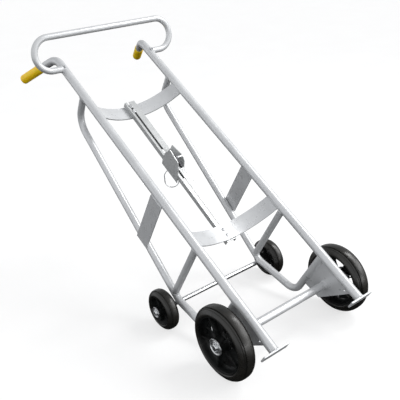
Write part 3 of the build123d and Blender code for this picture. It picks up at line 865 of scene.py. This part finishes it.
# --- flat bars, plates and hook parts, copied from their CAD nodes --------------
for node in ("left_brace", "right_brace", "upper_cradle", "lower_cradle", "left_gusset",
             "right_gusset", "left_toe", "right_toe", "left_track_angle", "right_track_angle",
             "track_back_strip", "hook_saddle", "hook_pawl"):
    softened(node)
for node, piece in frame["nodes"].items():
    piece.data.materials.clear()
    piece.data.materials.append(LOOKS[SLOT_OF[node]])

build("frame_welds", welds, "frame_paint", "frame", sharp=60)

# --- floor, light and camera --------------------------------------------------
FLOOR_SIZE = 40.0
floor_look = Look("pale_floor", {"Roughness": 0.9, "Specular IOR Level": 0.1,
                                 "Emission Color": (1, 1, 1, 1), "Emission Strength": 0.66})
floor_tone = floor_look.spread(floor_look.noise(3, 4), 0.3, 0.7, 0, 1)
floor_look.colour(floor_look.mix(floor_tone, (0.34, 0.34, 0.34), (0.36, 0.36, 0.36)))
floor_mesh = bpy.data.meshes.new("floor")
half_floor = FLOOR_SIZE / 2
floor_mesh.from_pydata([(-half_floor, -half_floor, 0), (half_floor, -half_floor, 0),
                        (half_floor, half_floor, 0), (-half_floor, half_floor, 0)], [], [(0, 1, 2, 3)])
floor_mesh.materials.append(floor_look.material)
floor = bpy.data.objects.new("floor", floor_mesh)
bpy.context.scene.collection.objects.link(floor)
floor.visible_diffuse = False
floor.visible_glossy = False

# The room: bright overhead and towards +X, dim to the left and below the horizon.
world = bpy.data.worlds.new("studio")
world.use_nodes = True
room = world.node_tree
ray = room.nodes.new("ShaderNodeSeparateXYZ")
room.links.new(room.nodes.new("ShaderNodeTexCoord").outputs["Generated"], ray.inputs["Vector"])


def room_ramp(axis, low, high, to_low, to_high):
    """Brightness that grows along one axis of the room."""
    node = room.nodes.new("ShaderNodeMapRange")
    node.interpolation_type = "SMOOTHSTEP"
    for name, value in (("From Min", low), ("From Max", high), ("To Min", to_low), ("To Max", to_high)):
        node.inputs[name].default_value = value
    room.links.new(ray.outputs[axis], node.inputs["Value"])
    return node.outputs["Result"]


brightness = room.nodes.new("ShaderNodeMath")
brightness.operation = "MULTIPLY"
room.links.new(room_ramp("Z", -0.4, 0.08, 0.02, 1.0), brightness.inputs[0])
room.links.new(room_ramp("X", -0.9, 0.2, 1.25, 0.72), brightness.inputs[1])
ceiling = room.nodes.new("ShaderNodeMath")
ceiling.operation = "MULTIPLY"
room.links.new(room_ramp("Z", 0.2, 0.9, 1.0, 0.6), ceiling.inputs[0])
room.links.new(brightness.outputs["Value"], ceiling.inputs[1])
room.nodes["Background"].inputs["Color"].default_value = (0.97, 0.98, 1.0, 1)
room.links.new(ceiling.outputs["Value"], room.nodes["Background"].inputs["Strength"])
bpy.context.scene.world = world
bpy.context.scene.view_settings.view_transform = "Standard"


def place_lamp(name, light, place, aim):
    """Light at place, facing aim."""
    lamp = bpy.data.objects.new(name, light)
    lamp.location = place
    lamp.rotation_mode = "QUATERNION"
    lamp.rotation_quaternion = (Vector(aim) - Vector(place)).to_track_quat("-Z", "Y")
    bpy.context.scene.collection.objects.link(lamp)


def softbox(name, place, aim, size, power):
    """Rectangular soft light at place, facing aim."""
    light = bpy.data.lights.new(name, "AREA")
    light.shape = "RECTANGLE"
    light.size = size[0]
    light.size_y = size[1]
    light.energy = power
    place_lamp(name, light, place, aim)


sun = bpy.data.lights.new("key_sun", "SUN")
sun.energy = 1.6
sun.angle = radians(40)
place_lamp("key_sun", sun, (2.1, -1.6, 1.6), (0, 0, 0))
softbox("key_light", (1.9, -0.8, 2.7), (0, 0, 0.2), (0.9, 1.3), 40)
softbox("low_front_light", (0.6, -2.8, 0.35), (0, 0, 0.3), (2.6, 0.5), 16)

CAMERA_PLACE = Vector((-1.2161, -1.7247, 1.3082))
CAMERA_AIM = Vector((0.5453, 0.7309, -0.4103)).normalized()
CAMERA_ROLL = radians(4.47)
camera_data = bpy.data.cameras.new("camera")
camera_data.sensor_width = 36
camera_data.lens = 54.12
camera_data.clip_end = 100
camera = bpy.data.objects.new("camera", camera_data)
bpy.context.scene.collection.objects.link(camera)
level_right = CAMERA_AIM.cross(Vector((0, 0, 1))).normalized()
level_up = level_right.cross(CAMERA_AIM)
right = level_right * cos(CAMERA_ROLL) - level_up * sin(CAMERA_ROLL)
camera.matrix_world = basis(CAMERA_PLACE, right, level_up * cos(CAMERA_ROLL)
                            + level_right * sin(CAMERA_ROLL))
bpy.context.scene.camera = camera
